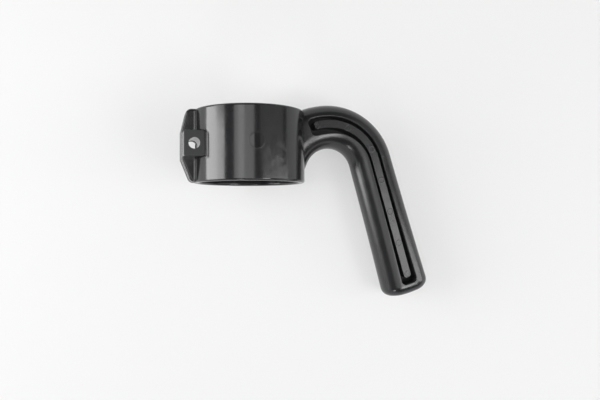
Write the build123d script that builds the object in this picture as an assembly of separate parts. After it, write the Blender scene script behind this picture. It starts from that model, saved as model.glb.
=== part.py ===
from build123d import *
from math import acos, asin, cos, degrees, radians, sin
import os

# Clamp-on trimmer handle, moulded in one piece: a split collar with two clamp ears,
# and an arm that rises out of the collar and turns down into a cored grip.
# Frame: origin at the middle of the bore, +Y along the bore, +X towards the grip,
# +Z square to the plane in which the handle lies. Millimetres and degrees.

# Collar
BORE_DIAMETER = 66.6
COLLAR_WALL = 3.6
COLLAR_LENGTH = 47.6
RIM_ROUND = 1.4
SPLIT_GAP = 4.0

# Clamp ears
EAR_THICKNESS = 6.0
EAR_TOP_REACH = 4.7
EAR_FOOT_REACH = 2.3
EAR_END_STEP = 0.2
EAR_CORNER = 4.0
EAR_EDGE = 1.6
EAR_LIP = 0.6
EAR_ROOT_FILLET = 3.0
EAR_ROOT_SINK = 0.9

# Screw boss on the front ear and nut boss on the rear ear
BOSS_WIDTH = 13.2
BOSS_LENGTH = 16.4
BOSS_CORNER = 1.4
BOSS_EDGE = 0.7
BOSS_ROOT_FILLET = 1.3
SCREW_BOSS_RISE = 13.5
NUT_BOSS_RISE = 5.0
SCREW_HOLE = 7.2
SCREW_OFFSET = 1.1
NUT_WIDTH = 10.2
NUT_SEAT = 2.4

# Arm and bend
ARM_HEIGHT = 15.35
ARM_RADIUS = 45.0
ARM_DROOP = 5.0
ARM_REACH = 18.6
BEND_RADIUS = 31.0
ROOT_LEAN = 22.0
ROOT_MARGIN = 3.0

# Grip
GRIP_WIDTH = 29.5
GRIP_THICKNESS = 23.6
GRIP_LENGTH = 96.2
GRIP_LEAN = 16.0
GRIP_FLARE = 0.5
GRIP_EDGE = 11.2
TIP_FLARE = 1.9
TIP_CROWN = 2.0
TIP_EDGE = 6.5

# Cored track with its island
TRACK_WIDTH = 8.8
TRACK_ARM_WIDTH = 11.2
TRACK_TIP_WIDTH = 11.2
TRACK_CORNER = 3.0
TRACK_OFFSET = 0.3
TRACK_ROOT_WALL = 2.4
TRACK_TIP_WALL = 7.4
ISLAND_WIDTH = 5.0
ISLAND_SHIFT = 0.6
ISLAND_CORNER = 1.8
ISLAND_ROOT_GAP = 3.6
ISLAND_TIP_GAP = 4.4
ISLAND_DROP = 1.0
CORE_WEB = 3.0
LIP_ROUND = 0.5

# Largest share of a wall that one rounding may take, and how near two points count as one
ROUND_SHARE = 0.48
SAME_PLACE = 0.01

bore_radius = BORE_DIAMETER / 2
collar_radius = bore_radius + COLLAR_WALL
mid_wall = bore_radius + COLLAR_WALL / 2
half_length = COLLAR_LENGTH / 2
ear_face = SPLIT_GAP / 2 + EAR_THICKNESS
screw_x = -(collar_radius + SCREW_OFFSET)
ear_reach = BOSS_WIDTH / 2 - screw_x + EAR_LIP
boss_top = ear_face + SCREW_BOSS_RISE
boss_bottom = ear_face + NUT_BOSS_RISE
half_width = GRIP_WIDTH / 2
half_thickness = GRIP_THICKNESS / 2
bend_x = collar_radius + ARM_REACH
bend_centre = Vector(bend_x, ARM_HEIGHT - BEND_RADIUS)
grip_along = Vector(sin(radians(GRIP_LEAN)), -cos(radians(GRIP_LEAN)))
grip_across = Vector(cos(radians(GRIP_LEAN)), sin(radians(GRIP_LEAN)))
bend_end = bend_centre + grip_across * BEND_RADIUS
tip = bend_end + grip_along * GRIP_LENGTH
root_x = bore_radius - COLLAR_WALL


def collar():
    """Ring with rounded rims, as one revolved profile."""
    rim = min(RIM_ROUND, ROUND_SHARE * COLLAR_WALL)
    profile = Pos(mid_wall, 0) * RectangleRounded(COLLAR_WALL, COLLAR_LENGTH, rim)
    return revolve(profile, Axis.Y)


def ears():
    """Both clamp ears as one block, tapered towards the ends of the collar."""
    disc = Circle(collar_radius - EAR_ROOT_SINK)
    block = Pos(-ear_reach / 2, 0) * Rectangle(ear_reach, 2 * ear_face)
    section = disc + block
    roots = [v for v in section.vertices() if -collar_radius < v.X < 0]
    section = fillet(roots, EAR_ROOT_FILLET)
    ear_half = half_length - EAR_END_STEP
    run = extrude(Plane.XZ * section, ear_half, both=True)

    shoulder = BOSS_LENGTH / 2 + EAR_LIP
    outline = Polyline(
        (-mid_wall, ear_half),
        (-collar_radius - EAR_TOP_REACH, ear_half),
        (-ear_reach, shoulder),
        (-ear_reach, -shoulder),
        (-collar_radius - EAR_FOOT_REACH, -ear_half),
        (-mid_wall, -ear_half),
        close=True,
    )
    plan = make_face(outline)
    plan = fillet([v for v in plan.vertices() if v.X < -collar_radius], EAR_CORNER)
    pair = run & extrude(plan, ear_face + EAR_ROOT_FILLET, both=True)
    flats = [f for f in pair.faces().filter_by(Axis.Z) if abs(abs(f.center().Z) - ear_face) < SAME_PLACE]
    rims = [e for f in flats for e in f.edges() if e.center().X < -collar_radius - EAR_EDGE]
    return fillet(rims, EAR_EDGE)


def bosses():
    """Screw boss towards +Z and nut boss towards -Z, round one screw axis."""
    outline = Pos(screw_x, 0) * RectangleRounded(BOSS_WIDTH, BOSS_LENGTH, BOSS_CORNER)
    block = extrude(Pos(0, 0, -boss_bottom) * outline, boss_bottom + boss_top)
    ends = block.faces().sort_by(Axis.Z)
    return fillet(ends[0].edges() + ends[-1].edges(), BOSS_EDGE)


def clamp():
    """Collar with ears and bosses; the screw boss runs into the collar in a fillet."""
    body = collar() + ears() + bosses()
    feet = []
    for edge in body.edges():
        middle = edge @ 0.5
        on_collar = abs(Vector(middle.X, middle.Z).length - collar_radius) < SAME_PLACE
        if on_collar and abs(middle.Y) < BOSS_LENGTH and middle.Z > ear_face + BOSS_EDGE:
            feet.append(edge)
    return fillet(feet, BOSS_ROOT_FILLET)


def screw_way():
    """Screw hole through both ears and a hexagonal nut pocket from the rear."""
    seat = SPLIT_GAP / 2 + NUT_SEAT
    hole = Pos(screw_x, 0, (boss_top - seat) / 2) * Cylinder(SCREW_HOLE / 2, boss_top + seat)
    hexagon = Pos(screw_x, 0, -seat) * RegularPolygon(NUT_WIDTH / 2, 6, major_radius=False, rotation=30)
    return hole + extrude(hexagon, seat - boss_bottom)


def handle_plan():
    """Plan of arm, bend and grip, closed inside the collar."""
    crest_angle = 90 + ARM_DROOP
    crest = Vector(1, 0).rotate(Axis.Z, crest_angle)
    root_lean = radians(ROOT_LEAN)
    root_along = Vector(sin(root_lean), cos(root_lean))
    root_across = Vector(cos(root_lean), -sin(root_lean))
    root_start = Vector(mid_wall, ROOT_MARGIN - half_length)
    foot = root_start - root_along * ((mid_wall - root_x) / sin(root_lean))
    heel = foot - root_across * GRIP_THICKNESS

    inner_radius = BEND_RADIUS - half_width
    outer_radius = BEND_RADIUS + half_width
    bend_inner = CenterArc(bend_centre, inner_radius, crest_angle, GRIP_LEAN - GRIP_FLARE - crest_angle)
    bend_outer = CenterArc(bend_centre, outer_radius, crest_angle, GRIP_LEAN + GRIP_FLARE - crest_angle)
    tip_start = tip - grip_along * TIP_CROWN
    tip_reach = grip_across * (half_width + TIP_FLARE)
    side_inner = TangentArc(bend_inner @ 1, tip_start - tip_reach, tangent=bend_inner % 1)
    side_outer = TangentArc(bend_outer @ 1, tip_start + tip_reach, tangent=bend_outer % 1)

    arch_pull = crest.dot(root_across)
    arch_reach = (bend_centre - root_start).dot(root_across)
    arch_radius = (arch_reach + inner_radius * arch_pull) / (1 + arch_pull)
    arch_centre = bend_centre + crest * (inner_radius - arch_radius)
    arch = CenterArc(arch_centre, arch_radius, crest_angle, 180 - ROOT_LEAN - crest_angle)

    arm_radius = ARM_RADIUS + half_width
    arm_centre = bend_centre + crest * (outer_radius - arm_radius)
    arm_angle = degrees(acos((heel.X - arm_centre.X) / arm_radius))
    arm = CenterArc(arm_centre, arm_radius, arm_angle, crest_angle - arm_angle)
    return make_face([
        arm,
        bend_outer,
        side_outer,
        ThreePointArc(side_outer @ 1, tip, side_inner @ 1),
        side_inner,
        bend_inner,
        arch,
        Line(arch @ 1, foot),
        Line(foot, heel),
        Line(heel, arm @ 0),
    ])


def handle():
    """Arm, bend and grip with rounded long edges and a rounded tip, trimmed to the collar."""
    slab = extrude(handle_plan(), half_thickness, both=True)
    flat_faces = slab.faces().filter_by(Axis.Z)
    long_edges = [
        e for e in flat_faces.edges()
        if e.center().X > root_x and (tip - e.center()).dot(grip_along) > TIP_CROWN
    ]
    slab = fillet(long_edges, min(GRIP_EDGE, ROUND_SHARE * GRIP_THICKNESS))
    tip_face = slab.faces().sort_by(Axis(bend_end, grip_along))[-1]
    slab = fillet(tip_face.edges(), TIP_EDGE)
    return slab - Rot(X=90) * Cylinder(mid_wall, 2 * COLLAR_LENGTH)


def strip_side(arm_reach, bend_reach, tip_reach, root_angle, length):
    """One long side of a strip, at its reach from the middle of arm, bend and grip."""
    arm_centre = Vector(bend_x, ARM_HEIGHT - ARM_RADIUS)
    bend_start = bend_end + grip_across * bend_reach
    tip_end = bend_end + grip_along * length + grip_across * tip_reach
    crest = Vector(bend_x, ARM_HEIGHT + arm_reach)
    root_end = arm_centre + Vector(ARM_RADIUS + arm_reach, 0).rotate(Axis.Z, root_angle)
    if tip_reach == bend_reach:
        grip_side = Line(bend_start, tip_end)
    else:
        grip_side = TangentArc(bend_start, tip_end, tangent=grip_along)
    bend_side = TangentArc(bend_start, crest, tangent=-grip_along)
    arm_side = TangentArc(crest, root_end, tangent=bend_side % 1)
    return [arm_side, bend_side, grip_side]


def strip(arm_width, bend_width, tip_width, arm_shift, start_x, length, corner):
    """Strip with rounded corners along arm, bend and grip, shifted outwards on the arm."""
    root_angle = 90 + degrees(asin((bend_x - start_x) / ARM_RADIUS))
    sides = [
        strip_side(
            TRACK_OFFSET + arm_shift + sign * arm_width / 2,
            TRACK_OFFSET + sign * bend_width / 2,
            TRACK_OFFSET + sign * tip_width / 2,
            root_angle,
            length,
        )
        for sign in (1, -1)
    ]
    caps = [Line(sides[0][0] @ 1, sides[1][0] @ 1), Line(sides[0][2] @ 1, sides[1][2] @ 1)]
    face = make_face(sides[0] + sides[1] + caps)
    ends = [cap @ at for cap in caps for at in (0, 1)]
    corners = [v for v in face.vertices() if min((Vector(v) - end).length for end in ends) < SAME_PLACE]
    return fillet(corners, corner)


def track_core():
    """Core on the front face: a shallow recess with a deep channel round the island."""
    start_x = collar_radius + TRACK_ROOT_WALL
    length = GRIP_LENGTH - TRACK_TIP_WALL
    outline = strip(TRACK_ARM_WIDTH, TRACK_WIDTH, TRACK_TIP_WIDTH, 0, start_x, length, TRACK_CORNER)
    island = strip(
        ISLAND_WIDTH, ISLAND_WIDTH, ISLAND_WIDTH, ISLAND_SHIFT,
        start_x + ISLAND_ROOT_GAP, length - ISLAND_TIP_GAP, ISLAND_CORNER,
    )
    island_top = half_thickness - ISLAND_DROP
    floor = CORE_WEB / 2
    recess = extrude(Pos(0, 0, island_top) * outline, 2 * ISLAND_DROP)
    return recess + extrude(Pos(0, 0, floor) * (outline - island), half_thickness - floor)


def cored_handle():
    """Handle with the track cored from both faces and its lips and island edges broken."""
    solid = handle()
    core = track_core()
    body = solid - core - mirror(core, Plane.XY)
    island_top = half_thickness - ISLAND_DROP
    lips = [e for e in new_edges(solid, core, combined=body) if abs(e.center().Z) > island_top - LIP_ROUND]
    return fillet(lips, LIP_ROUND)


def clamp_handle():
    """The whole moulding."""
    body = clamp() + cored_handle()
    body -= Rot(X=90) * Cylinder(bore_radius, 2 * COLLAR_LENGTH)
    body -= Pos(-collar_radius, 0, 0) * Box(2 * COLLAR_WALL + 2 * BOSS_WIDTH, 2 * COLLAR_LENGTH, SPLIT_GAP)
    return body - screw_way()


os.makedirs("parts", exist_ok=True)
export_step(clamp_handle(), "parts/clamp_handle.step")
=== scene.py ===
"""Looks and studio stage for a clamp-on trimmer handle moulded in black plastic."""

from math import cos, pi, radians, sin, tan
from typing import NamedTuple

import bpy
from mathutils import Matrix, Vector

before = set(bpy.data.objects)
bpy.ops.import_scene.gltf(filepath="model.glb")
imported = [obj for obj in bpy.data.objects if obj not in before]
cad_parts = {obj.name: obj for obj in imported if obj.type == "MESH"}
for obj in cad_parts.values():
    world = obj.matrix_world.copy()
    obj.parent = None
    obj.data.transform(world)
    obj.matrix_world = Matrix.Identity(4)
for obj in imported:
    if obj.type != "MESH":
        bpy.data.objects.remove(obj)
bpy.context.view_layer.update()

bl_info = {
    "name": "Trimmer handle",
    "version": (1, 0, 0),
    "blender": (4, 5, 0),
    "location": "3D View > Sidebar > Handle",
    "description": "Finishes a moulded clamp-on trimmer handle and sets its stage",
    "category": "Object",
}

HANDLE_NODE = "clamp_handle"

# Middle line of the handle in its own plane: an arm arc up to the crest, a bend arc on from
# there, and a straight grip. This and all other lengths are in metres
CREST_X = 0.0555
ARM_CENTRE_Y = -0.02965
ARM_RADIUS = 0.045
BEND_CENTRE_Y = -0.01565
BEND_RADIUS = 0.031
GRIP_LEAN = radians(16)
BEND_LENGTH = BEND_RADIUS * (pi / 2 - GRIP_LEAN)

# Where the finish changes: the track in the handle's faces, with the channel below its island,
# and the screw boss outside the collar. A blend is the width of a change, and a hard one is sharp
TRACK_END = 0.1295
TRACK_REACH = 0.0068
CHANNEL_TOP = 0.0103
CHANNEL_BLEND = 0.001
COLLAR_RADIUS = 0.0369
COLLAR_BLEND = 0.002
BOSS_FACE = 0.0213
BOSS_BLEND = 0.0002
BOSS_CLEARANCE = 0.0006
HARD = 0.00001

# Marks of the mould: rings of ejector pins along the island, a round gate mark on the collar,
# and a smudged patch beside it
ISLAND_MIDDLE = 0.0005
PIN_MARK_RADIUS = 0.0019
PIN_MARK_PITCH = 0.0224
PIN_MARK_START = -0.0121
GATE_MARK_PLACE = (-0.0015, 0.0008)
GATE_MARK_RADIUS = 0.0049
RING_WIDTH = 0.0005
SMUDGE_PLACE = (0.011, -0.008)
SMUDGE_REACH = 0.014


class Noise(NamedTuple):
    """An uneven pattern, by how fine it is and how many finer layers it has."""

    scale: float
    detail: float


SMEAR = Noise(90.0, 3.0)
SCUFFS = Noise(210.0, 5.0)
GRAIN = Noise(2600.0, 2.0)
NOISE_MIDDLE = 0.5
SCUFF_EDGE = 0.56
SCUFF_BLEND = 0.3

# Roughness that the marks add, and that the disc of the gate mark takes away
SMEAR_ROUGHNESS = 0.12
RING_ROUGHNESS = 0.12
SCUFF_ROUGHNESS = 0.03
SMUDGE_ROUGHNESS = 0.17
GATE_POLISH = 0.08

# Heights of the grain and of the rings, as shares of the grain's depth
COLLAR_GRAIN = 0.15
GRIP_GRAIN = 0.5
BOSS_GRAIN = 1.15
RING_HEIGHT = 3.0
BUMP_STRENGTH = 0.5

PLASTIC_IOR = 1.55
FLOOR_ROUGHNESS = 0.9

# Camera: pixels across the picture for its focal length, sensor in millimetres, and near limit
PICTURE_WIDTH = 600
SENSOR_WIDTH = 36.0
CLIP_START = 0.01


class Softbox(NamedTuple):
    """A soft light, placed and sized by the angles at which the handle sees it.

    The angles are in degrees from the camera's axis, across the picture to the right and
    down the picture. Brightness is how many times brighter than white paper it looks.
    """

    name: str
    across: float
    down: float
    wide: float
    tall: float
    brightness: float
    distance: float


SOFTBOXES = (
    Softbox("left_softbox", -76, 2, 26, 36, 6.8, 0.9),
    Softbox("left_edge", -54.5, 0, 17, 26, 5.8, 0.9),
    Softbox("upper_left", -62, -28, 24, 16, 4.2, 0.9),
    Softbox("overhead_left", -22, -7, 8, 20, 2.3, 1.1),
    Softbox("overhead_panel", -12.5, -7, 11, 20, 3.4, 1.1),
    Softbox("overhead_edge", 3, -7, 20, 20, 2.0, 1.1),
    Softbox("middle_fill", 10, 10, 36, 20, 1.4, 1.1),
    Softbox("right_softbox", 59, 2, 58, 14, 4.6, 1.0),
    Softbox("right_core", 40, 20, 20, 16, 8.5, 1.0),
    Softbox("right_wall", 50, -24, 50, 36, 0.4, 1.0),
    Softbox("front_lamp", -20, 53, 6, 6, 24.0, 1.0),
)

# Room and backdrop: the walls end where the view rises by this much, and the floor fades to the
# backdrop's white about this far from its middle
WHITE = (1.0, 1.0, 1.0, 1.0)
ROOM_BRIGHTNESS = 0.1
BACKDROP_BRIGHTNESS = 0.95
WALL_RISE = 0.3
WALL_FADE = 0.1
FADE_DISTANCE = 0.7


class Value:
    """A shader socket that adds Math nodes when it is used in an expression."""

    def __init__(self, tree, socket):
        self.tree = tree
        self.socket = socket

    def _math(self, operation, *terms):
        return self.tree.node("ShaderNodeMath", {"operation": operation}, dict(enumerate(terms)))

    def __add__(self, other):
        return self._math("ADD", self, other)

    __radd__ = __add__

    def __sub__(self, other):
        return self._math("SUBTRACT", self, other)

    def __rsub__(self, other):
        return self._math("SUBTRACT", other, self)

    def __mul__(self, other):
        return self._math("MULTIPLY", self, other)

    __rmul__ = __mul__

    def __pow__(self, other):
        return self._math("POWER", self, other)

    def __abs__(self):
        return self._math("ABSOLUTE", self)

    def angle(self, other):
        """Angle of the point (other, self) from the first axis, in radians."""
        return self._math("ARCTAN2", self, other)

    def wrap(self, half):
        """The same value, brought back into the range from -half to half."""
        return self._math("WRAP", self, half, -half)

    def between(self, first, second):
        """First where this value is 0, second where it is 1."""
        return first + self * (second - first)

    def above(self, edge, soft):
        """0 below edge, 1 above it, with a smooth step of the given width."""
        return self.tree.node(
            "ShaderNodeMapRange",
            {"interpolation_type": "SMOOTHSTEP"},
            {"Value": self, "From Min": edge - soft / 2, "From Max": edge + soft / 2},
        )

    def below(self, edge, soft):
        """1 below edge, 0 above it, with a smooth step of the given width."""
        return 1 - self.above(edge, soft)


class Shader:
    """A material's or world's node tree, built node by node."""

    def __init__(self, owner):
        owner.use_nodes = True
        self.nodes = owner.node_tree.nodes
        self.links = owner.node_tree.links
        self.nodes.clear()

    def node(self, kind, settings=None, inputs=None, output=0):
        """Add a node, set it up, feed its sockets and return the chosen output."""
        made = self.nodes.new(kind)
        for name, value in (settings or {}).items():
            setattr(made, name, value)
        for name, value in (inputs or {}).items():
            if isinstance(value, Value):
                self.links.new(value.socket, made.inputs[name])
            else:
                made.inputs[name].default_value = value
        return Value(self, made.outputs[output]) if made.outputs else None


class HandleFinish(bpy.types.PropertyGroup):
    """Colour and gloss of the moulded plastic."""

    plastic: bpy.props.FloatVectorProperty(
        name="Plastic", description="Colour of the moulded plastic",
        subtype="COLOR", size=4, min=0.0, max=1.0, default=(0.012, 0.012, 0.013, 1.0),
    )
    collar_roughness: bpy.props.FloatProperty(
        name="Collar roughness", description="Roughness of the polished collar and ears",
        subtype="FACTOR", min=0.0, max=1.0, default=0.15,
    )
    grip_roughness: bpy.props.FloatProperty(
        name="Grip roughness", description="Roughness of the satin arm and grip",
        subtype="FACTOR", min=0.0, max=1.0, default=0.23,
    )
    boss_roughness: bpy.props.FloatProperty(
        name="Boss roughness", description="Roughness of the matte end of the screw boss",
        subtype="FACTOR", min=0.0, max=1.0, default=0.55,
    )
    channel_roughness: bpy.props.FloatProperty(
        name="Channel roughness", description="Roughness of the dull channel round the island",
        subtype="FACTOR", min=0.0, max=1.0, default=0.75,
    )
    grain_depth: bpy.props.FloatProperty(
        name="Grain depth", description="Depth of the fine grain of the mould",
        unit="LENGTH", default=0.00002,
    )


class StageSetup(bpy.types.PropertyGroup):
    """Floor and camera round the handle."""

    floor_colour: bpy.props.FloatVectorProperty(
        name="Floor", description="Colour of the plain floor",
        subtype="COLOR", size=4, min=0.0, max=1.0, default=(0.7, 0.7, 0.7, 1.0),
    )
    floor_glow: bpy.props.FloatProperty(
        name="Floor glow", description="Share of plain white in the floor, as seen or reflected",
        subtype="FACTOR", min=0.0, max=1.0, default=0.5,
    )
    floor_size: bpy.props.FloatProperty(
        name="Floor size", description="Side of the square floor",
        unit="LENGTH", default=6.0,
    )
    floor_gap: bpy.props.FloatProperty(
        name="Floor gap", description="Room between the collar and the floor",
        unit="LENGTH", default=0.0002,
    )
    camera_focal: bpy.props.FloatProperty(
        name="Focal length", description="Focal length in pixels of a picture 600 pixels wide",
        default=630.0,
    )
    camera_distance: bpy.props.FloatProperty(
        name="Camera distance", description="From the camera to the point it looks at",
        unit="LENGTH", default=0.4281,
    )
    camera_aim: bpy.props.FloatVectorProperty(
        name="Camera aim", description="Point in the handle's plane that the camera looks at",
        subtype="TRANSLATION", default=(0.0349, -0.0348, 0.0),
    )
    camera_side: bpy.props.FloatProperty(
        name="Camera side tilt", description="Turn of the view about the bore's axis",
        unit="ROTATION", default=radians(-14.5),
    )
    camera_lift: bpy.props.FloatProperty(
        name="Camera lift", description="Turn of the view about the picture's own width",
        unit="ROTATION", default=radians(1.49),
    )
    camera_roll: bpy.props.FloatProperty(
        name="Camera roll", description="Turn of the picture in its own plane",
        unit="ROTATION", default=radians(-0.3),
    )


def distance(across, along):
    """Distance from the place where both values are 0."""
    return (across ** 2 + along ** 2) ** 0.5


def path_place(x, y):
    """Where a point lies along the handle's middle line, counted from its crest, and across it."""
    from_crest = x - CREST_X
    arm_y = y - ARM_CENTRE_Y
    bend_y = y - BEND_CENTRE_Y
    arm_along = from_crest.angle(arm_y) * ARM_RADIUS
    arm_across = distance(from_crest, arm_y) - ARM_RADIUS
    bend_along = from_crest.angle(bend_y) * BEND_RADIUS
    bend_across = distance(from_crest, bend_y) - BEND_RADIUS
    grip_along = from_crest * sin(GRIP_LEAN) - bend_y * cos(GRIP_LEAN)
    grip_across = from_crest * cos(GRIP_LEAN) + bend_y * sin(GRIP_LEAN) - BEND_RADIUS

    past_crest = from_crest.above(0, HARD)
    past_bend = past_crest * grip_along.above(0, HARD)
    along = past_crest.between(arm_along, past_bend.between(bend_along, grip_along + BEND_LENGTH))
    across = past_crest.between(arm_across, past_bend.between(bend_across, grip_across))
    return along, across


def finish_zones(x, z, along, across):
    """Masks of the satin handle, the dull channel and the island in it, and the matte boss."""
    from_bore = distance(x, z)
    on_handle = from_bore.above(COLLAR_RADIUS + COLLAR_BLEND, COLLAR_BLEND) * x.above(0, HARD)
    in_track = on_handle * along.below(TRACK_END, HARD) * abs(across).below(TRACK_REACH, HARD)
    channel = in_track * abs(z).below(CHANNEL_TOP, CHANNEL_BLEND)
    island = in_track * abs(z).above(CHANNEL_TOP, HARD)
    off_collar = from_bore.above(COLLAR_RADIUS + BOSS_CLEARANCE, HARD)
    boss = z.above(BOSS_FACE, BOSS_BLEND) * off_collar * x.below(0, HARD)
    return on_handle, channel, island, boss


def ring(from_middle, radius):
    """A thin ring at the given distance: 1 on the ring and 0 elsewhere."""
    return abs(from_middle - radius).below(RING_WIDTH / 2, RING_WIDTH)


def pin_rings(along, across):
    """Rings of the ejector pins, at an even pitch along the island."""
    from_pin = (along - PIN_MARK_START).wrap(PIN_MARK_PITCH / 2)
    return ring(distance(across - ISLAND_MIDDLE, from_pin), PIN_MARK_RADIUS)


def collar_marks(x, y, z):
    """Masks of the gate mark's ring and disc and of the smudged patch, on the collar's front."""
    front = z.above(0, HARD)
    gate_x, gate_y = GATE_MARK_PLACE
    from_gate = distance(x - gate_x, y - gate_y)
    gate_ring = front * ring(from_gate, GATE_MARK_RADIUS)
    gate_disc = front * from_gate.below(GATE_MARK_RADIUS, RING_WIDTH)
    smudge_x, smudge_y = SMUDGE_PLACE
    from_smudge = distance(x - smudge_x, y - smudge_y)
    smudged = front * from_smudge.below(SMUDGE_REACH / 2, SMUDGE_REACH)
    return gate_ring, gate_disc, smudged


def black_plastic(finish):
    """Moulded black plastic, polished on the collar, satin on the grip, matte on the boss."""
    material = bpy.data.materials.new("black_plastic")
    tree = Shader(material)
    place = tree.node("ShaderNodeTexCoord", output="Object")
    x, y, z = (tree.node("ShaderNodeSeparateXYZ", inputs={0: place}, output=axis) for axis in "XYZ")
    along, across = path_place(x, y)
    on_handle, channel, island, boss = finish_zones(x, z, along, across)
    gate_ring, gate_disc, smudged = collar_marks(x, y, z)
    rings = island * pin_rings(along, across) + gate_ring
    smear, scuffs, grain = (
        tree.node("ShaderNodeTexNoise", inputs={"Vector": place, "Scale": scale, "Detail": detail})
        for scale, detail in (SMEAR, SCUFFS, GRAIN)
    )

    roughness = on_handle.between(finish.collar_roughness, finish.grip_roughness)
    roughness = roughness + (smear - NOISE_MIDDLE) * SMEAR_ROUGHNESS + rings * RING_ROUGHNESS
    scuffed = scuffs.above(SCUFF_EDGE, SCUFF_BLEND)
    roughness = roughness + scuffed * smudged.between(SCUFF_ROUGHNESS, SMUDGE_ROUGHNESS)
    roughness = roughness - gate_disc * GATE_POLISH
    roughness = boss.between(roughness, finish.boss_roughness)
    roughness = channel.between(roughness, finish.channel_roughness)

    coarse = boss.between(on_handle.between(COLLAR_GRAIN, GRIP_GRAIN), BOSS_GRAIN)
    height = grain * coarse + rings * RING_HEIGHT
    normal = tree.node(
        "ShaderNodeBump",
        inputs={"Height": height, "Strength": BUMP_STRENGTH, "Distance": finish.grain_depth},
    )
    surface = tree.node(
        "ShaderNodeBsdfPrincipled",
        inputs={
            "Base Color": finish.plastic,
            "Roughness": roughness,
            "IOR": PLASTIC_IOR,
            "Normal": normal,
        },
    )
    tree.node("ShaderNodeOutputMaterial", inputs={"Surface": surface})
    return material


def floor_paint(stage):
    """Pale floor that fades to the backdrop's white, clear where it is seen from underneath."""
    material = bpy.data.materials.new("pale_floor")
    tree = Shader(material)
    paint = tree.node(
        "ShaderNodeBsdfPrincipled",
        inputs={
            "Base Color": stage.floor_colour,
            "Roughness": FLOOR_ROUGHNESS,
            "Specular IOR Level": 0.0,
        },
    )
    white = tree.node("ShaderNodeEmission", inputs={"Strength": BACKDROP_BRIGHTNESS})
    camera, glossy, transmission = (
        tree.node("ShaderNodeLightPath", output=ray)
        for ray in ("Is Camera Ray", "Is Glossy Ray", "Is Transmission Ray")
    )
    place = tree.node("ShaderNodeTexCoord", output="Object")
    from_middle = tree.node("ShaderNodeVectorMath", {"operation": "LENGTH"}, {0: place}, output="Value")
    far = from_middle.above(FADE_DISTANCE, FADE_DISTANCE)
    glow = camera * far.between(stage.floor_glow, 1.0) + (glossy + transmission) * stage.floor_glow
    floor = tree.node("ShaderNodeMixShader", inputs={0: glow, 1: paint, 2: white})
    clear = tree.node("ShaderNodeBsdfTransparent")
    underside = tree.node("ShaderNodeNewGeometry", output="Backfacing")
    surface = tree.node("ShaderNodeMixShader", inputs={0: underside, 1: floor, 2: clear})
    tree.node("ShaderNodeOutputMaterial", inputs={"Surface": surface})
    return material


def view_turn(stage):
    """Orientation of the camera in the handle's frame."""
    side = Matrix.Rotation(stage.camera_side, 3, "Y")
    lift = Matrix.Rotation(stage.camera_lift, 3, "X")
    roll = Matrix.Rotation(stage.camera_roll, 3, "Z")
    return side @ lift @ roll


def add_floor(stage):
    """Floor square to the camera's axis, on which the handle lies on its collar and grip."""
    turn = view_turn(stage)
    up = turn @ Vector((0, 0, 1))
    lowest = min(up.dot(vertex.co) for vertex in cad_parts[HANDLE_NODE].data.vertices)
    bpy.ops.object.select_all(action="DESELECT")
    bpy.ops.mesh.primitive_plane_add(
        size=stage.floor_size, location=up * (lowest - stage.floor_gap), rotation=turn.to_euler(),
    )
    floor = bpy.context.active_object
    floor.name = "floor"
    floor.data.materials.append(floor_paint(stage))


def add_camera(stage):
    """Camera at the photo's viewing angle."""
    turn = view_turn(stage)
    data = bpy.data.cameras.new("camera")
    data.sensor_fit = "HORIZONTAL"
    data.sensor_width = SENSOR_WIDTH
    data.lens = stage.camera_focal / PICTURE_WIDTH * SENSOR_WIDTH
    data.clip_start = CLIP_START
    camera = bpy.data.objects.new("camera", data)
    eye = Vector(stage.camera_aim) + turn @ Vector((0, 0, stage.camera_distance))
    camera.matrix_world = Matrix.Translation(eye) @ turn.to_4x4()
    bpy.context.scene.collection.objects.link(camera)
    bpy.context.scene.camera = camera


def add_softbox(stage, box):
    """One softbox, turned towards the point that the camera looks at."""
    swing = Matrix.Rotation(radians(box.across), 3, "Y") @ Matrix.Rotation(radians(box.down), 3, "X")
    facing = view_turn(stage) @ swing
    data = bpy.data.lights.new(box.name, "AREA")
    data.shape = "RECTANGLE"
    data.size = 2 * box.distance * tan(radians(box.wide / 2))
    data.size_y = 2 * box.distance * tan(radians(box.tall / 2))
    data.energy = box.brightness * pi * data.size * data.size_y
    lamp = bpy.data.objects.new(box.name, data)
    place = Vector(stage.camera_aim) + facing @ Vector((0, 0, box.distance))
    lamp.matrix_world = Matrix.Translation(place) @ facing.to_4x4()
    bpy.context.scene.collection.objects.link(lamp)


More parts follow.
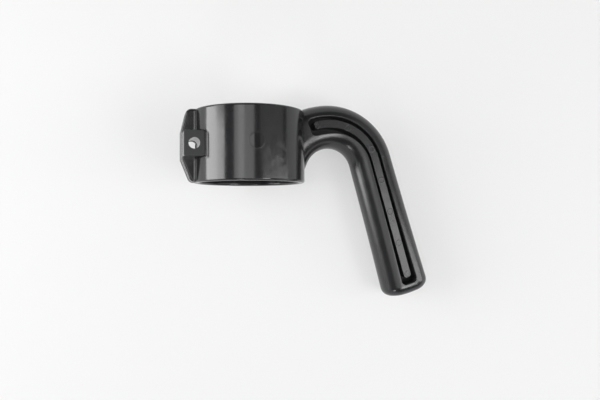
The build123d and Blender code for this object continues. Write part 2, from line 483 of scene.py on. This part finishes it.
def studio_world():
    """Dim room with pale walls up to a little above the handle's own level."""
    world = bpy.data.worlds.new("studio")
    tree = Shader(world)
    room, walls = (
        tree.node("ShaderNodeBackground", inputs={"Color": WHITE, "Strength": brightness})
        for brightness in (ROOM_BRIGHTNESS, BACKDROP_BRIGHTNESS)
    )
    direction = tree.node("ShaderNodeTexCoord", output="Generated")
    rise = tree.node("ShaderNodeSeparateXYZ", inputs={0: direction}, output="Z")
    on_wall = rise.below(WALL_RISE, WALL_FADE)
    surface = tree.node("ShaderNodeMixShader", inputs={0: on_wall, 1: room, 2: walls})
    tree.node("ShaderNodeOutputWorld", inputs={"Surface": surface})
    return world


class HANDLE_OT_finish(bpy.types.Operator):
    """Give the moulding its plastic"""

    bl_idname = "handle.finish"
    bl_label = "Finish the handle"

    def execute(self, context):
        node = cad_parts[HANDLE_NODE]
        node.data.materials.clear()
        node.data.materials.append(black_plastic(context.scene.handle_finish))
        return {"FINISHED"}


class HANDLE_OT_stage(bpy.types.Operator):
    """Set the floor, the lights and the camera"""

    bl_idname = "handle.stage"
    bl_label = "Set the stage"

    def execute(self, context):
        stage = context.scene.handle_stage
        add_floor(stage)
        add_camera(stage)
        for box in SOFTBOXES:
            add_softbox(stage, box)

        context.scene.world = studio_world()
        context.scene.view_settings.view_transform = "Standard"
        return {"FINISHED"}


class HANDLE_PT_panel(bpy.types.Panel):
    """Finish and stage of the trimmer handle"""

    bl_label = "Trimmer handle"
    bl_idname = "HANDLE_PT_panel"
    bl_space_type = "VIEW_3D"
    bl_region_type = "UI"
    bl_category = "Handle"

    def draw(self, context):
        for group, operator in (
            (context.scene.handle_finish, HANDLE_OT_finish),
            (context.scene.handle_stage, HANDLE_OT_stage),
        ):
            column = self.layout.column()
            for name in group.bl_rna.properties.keys():
                if name not in {"rna_type", "name"}:
                    column.prop(group, name)
            column.operator(operator.bl_idname)


CLASSES = (HandleFinish, StageSetup, HANDLE_OT_finish, HANDLE_OT_stage, HANDLE_PT_panel)


def register():
    for each in CLASSES:
        bpy.utils.register_class(each)
    bpy.types.Scene.handle_finish = bpy.props.PointerProperty(type=HandleFinish)
    bpy.types.Scene.handle_stage = bpy.props.PointerProperty(type=StageSetup)


def unregister():
    del bpy.types.Scene.handle_stage
    del bpy.types.Scene.handle_finish
    for each in reversed(CLASSES):
        bpy.utils.unregister_class(each)


def main():
    register()
    bpy.ops.handle.finish()
    bpy.ops.handle.stage()


if __name__ == "__main__":
    main()
